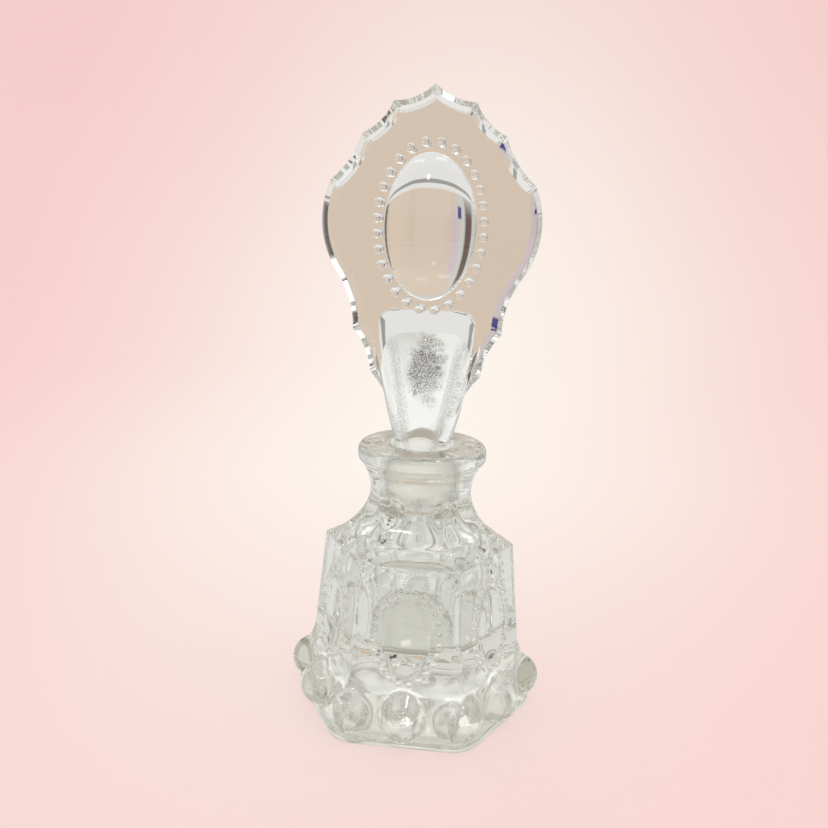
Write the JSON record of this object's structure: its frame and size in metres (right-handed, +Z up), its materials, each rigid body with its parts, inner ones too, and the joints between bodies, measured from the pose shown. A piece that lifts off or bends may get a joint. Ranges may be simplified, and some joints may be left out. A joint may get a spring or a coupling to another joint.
{
  "type": "perfume bottle",
  "caption": "Pressed-glass perfume bottle: six-sided body on a scalloped foot of round bosses, with a tall spade-shaped glass stopper that lifts out of a ground mouth.",
  "frame": {"origin": "centre of the foot's underside, on the bottle's upright axis", "axes": "+Z up along the bottle's axis and out of its mouth; -Y is the front, towards which the front panel and the stopper's front face look; +X to the right, through a corner of the foot"},
  "size_m": [0.0728, 0.069, 0.17],
  "materials": {
    "clear_glass": "fire-polished clear glass",
    "stopper_glass": "fire-polished clear glass with a ground plug"
  },
  "bodies": {
    "bottle": {"bottle": "clear_glass"},
    "stopper": {"stopper": "stopper_glass"}
  },
  "joints": [
    {"name": "stopper_lift", "type": "slide", "parent": "bottle", "child": "stopper", "axis": [0, 0, 1], "range_m": [0, 0.026]}
  ]
}
